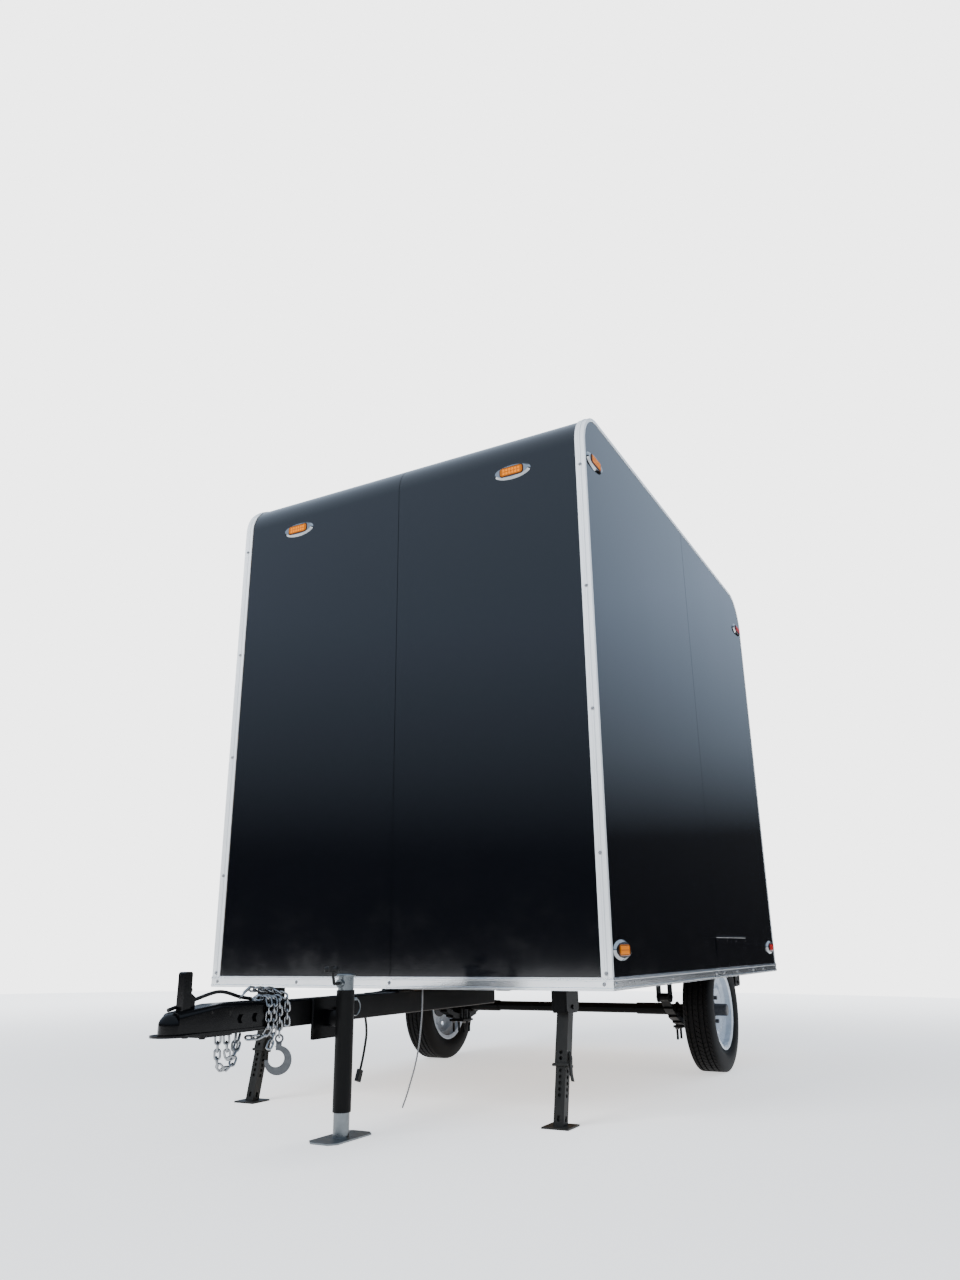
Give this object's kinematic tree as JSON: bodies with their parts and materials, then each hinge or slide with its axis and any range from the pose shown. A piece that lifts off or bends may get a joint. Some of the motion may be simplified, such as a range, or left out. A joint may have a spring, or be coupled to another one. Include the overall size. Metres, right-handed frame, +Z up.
{
  "type": "enclosed cargo trailer",
  "caption": "Box-bodied single-axle cargo trailer with a curved roof wrap, rear double doors, ball coupler, swivel jack and drop-leg stabilizers.",
  "frame": {"origin": "on the ground under the middle of the overall length and width", "axes": "-Y towards the coupler, +Y towards the rear doors, +X the trailer's left side, +Z up"},
  "size_m": [1.858, 3.906, 2.757],
  "materials": {
    "panel": "gloss",
    "trim": "satin",
    "frame": "satin",
    "floor": "matte",
    "tyre": "matte",
    "rim": "gloss",
    "hub": "satin",
    "zinc": "satin",
    "chrome": "polished",
    "amber": "gloss",
    "red": "gloss",
    "rubber": "matte",
    "steel": "satin"
  },
  "bodies": {
    "trailer": {"chassis_frame": "frame", "floor_panel": "floor", "front_wall": "panel", "roof_panel": "panel", "side_wall_left": "panel", "side_wall_right": "panel", "rear_frame": "steel", "wrap_trim_left": "trim", "wrap_trim_right": "trim", "base_rail": "trim", "wheel_box_left": "steel", "wheel_box_right": "steel", "wheel_flap_left": "panel", "wheel_flap_right": "panel", "axle": "frame", "leaf_spring_left": "frame", "leaf_spring_right": "frame", "spring_hangers": "frame", "tongue_beam": "frame", "coupler": "frame", "coupler_latch": "frame", "jack_bracket": "frame", "stabilizer_brackets": "frame", "lamp_bezels": "chrome", "lamp_lenses_amber": "amber", "lamp_lenses_red": "red", "tail_lamps": "red", "door_hinges": "zinc", "safety_chain": "zinc", "spare_chain": "zinc", "chain_hook": "zinc", "breakaway_cable": "rubber", "light_cable": "rubber", "ground_cable": "zinc", "light_plug": "rubber"},
    "wheel_left": {"tyre_left": "tyre", "rim_left": "rim", "hub_left": "hub"},
    "wheel_right": {"tyre_right": "tyre", "rim_right": "rim", "hub_right": "hub"},
    "jack_body": {"jack_sleeve": "frame", "jack_head": "zinc", "jack_crank": "rubber"},
    "jack_leg": {"jack_tube": "zinc"},
    "leg_front_left": {"stabilizer_leg_front_left": "frame"},
    "leg_front_right": {"stabilizer_leg_front_right": "frame"},
    "leg_rear_left": {"stabilizer_leg_rear_left": "frame"},
    "leg_rear_right": {"stabilizer_leg_rear_right": "frame"},
    "rear_door_left": {"door_left": "panel", "lock_rod_left": "zinc"},
    "rear_door_right": {"door_right": "panel", "lock_rod_right": "zinc"}
  },
  "joints": [
    {"name": "wheel_left_spin", "type": "hinge", "parent": "trailer", "child": "wheel_left", "pos_m": [0.785, 0.912, 0.281], "axis": [1, 0, 0], "continuous": true},
    {"name": "rear_door_left_swing", "type": "hinge", "parent": "trailer", "child": "rear_door_left", "pos_m": [0.8025, 1.923, 1.47], "axis": [0, 0, -1], "range_deg": [0, 180]},
    {"name": "leg_front_left_fold", "type": "hinge", "parent": "trailer", "child": "leg_front_left", "pos_m": [0.685, -0.673, 0.378], "axis": [1, 0, 0], "range_deg": [0, 102]},
    {"name": "leg_rear_left_fold", "type": "hinge", "parent": "trailer", "child": "leg_rear_left", "pos_m": [0.685, 1.792, 0.378], "axis": [1, 0, 0], "range_deg": [0, 102]},
    {"name": "wheel_right_spin", "type": "hinge", "parent": "trailer", "child": "wheel_right", "pos_m": [-0.785, 0.912, 0.281], "axis": [1, 0, 0], "continuous": true},
    {"name": "rear_door_right_swing", "type": "hinge", "parent": "trailer", "child": "rear_door_right", "pos_m": [-0.8025, 1.923, 1.47], "axis": [0, 0, 1], "range_deg": [0, 180]},
    {"name": "leg_front_right_fold", "type": "hinge", "parent": "trailer", "child": "leg_front_right", "pos_m": [-0.685, -0.673, 0.378], "axis": [1, 0, 0], "range_deg": [0, 102]},
    {"name": "leg_rear_right_fold", "type": "hinge", "parent": "trailer", "child": "leg_rear_right", "pos_m": [-0.685, 1.792, 0.378], "axis": [1, 0, 0], "range_deg": [0, 102]},
    {"name": "jack_swivel", "type": "hinge", "parent": "trailer", "child": "jack_body", "pos_m": [0.071, -1.23, 0.362], "axis": [-1, 0, 0], "range_deg": [0, 90]},
    {"name": "jack_extend", "type": "slide", "parent": "jack_body", "child": "jack_leg", "axis": [0, 0, -1], "range_m": [-0.066, 0.18]}
  ]
}
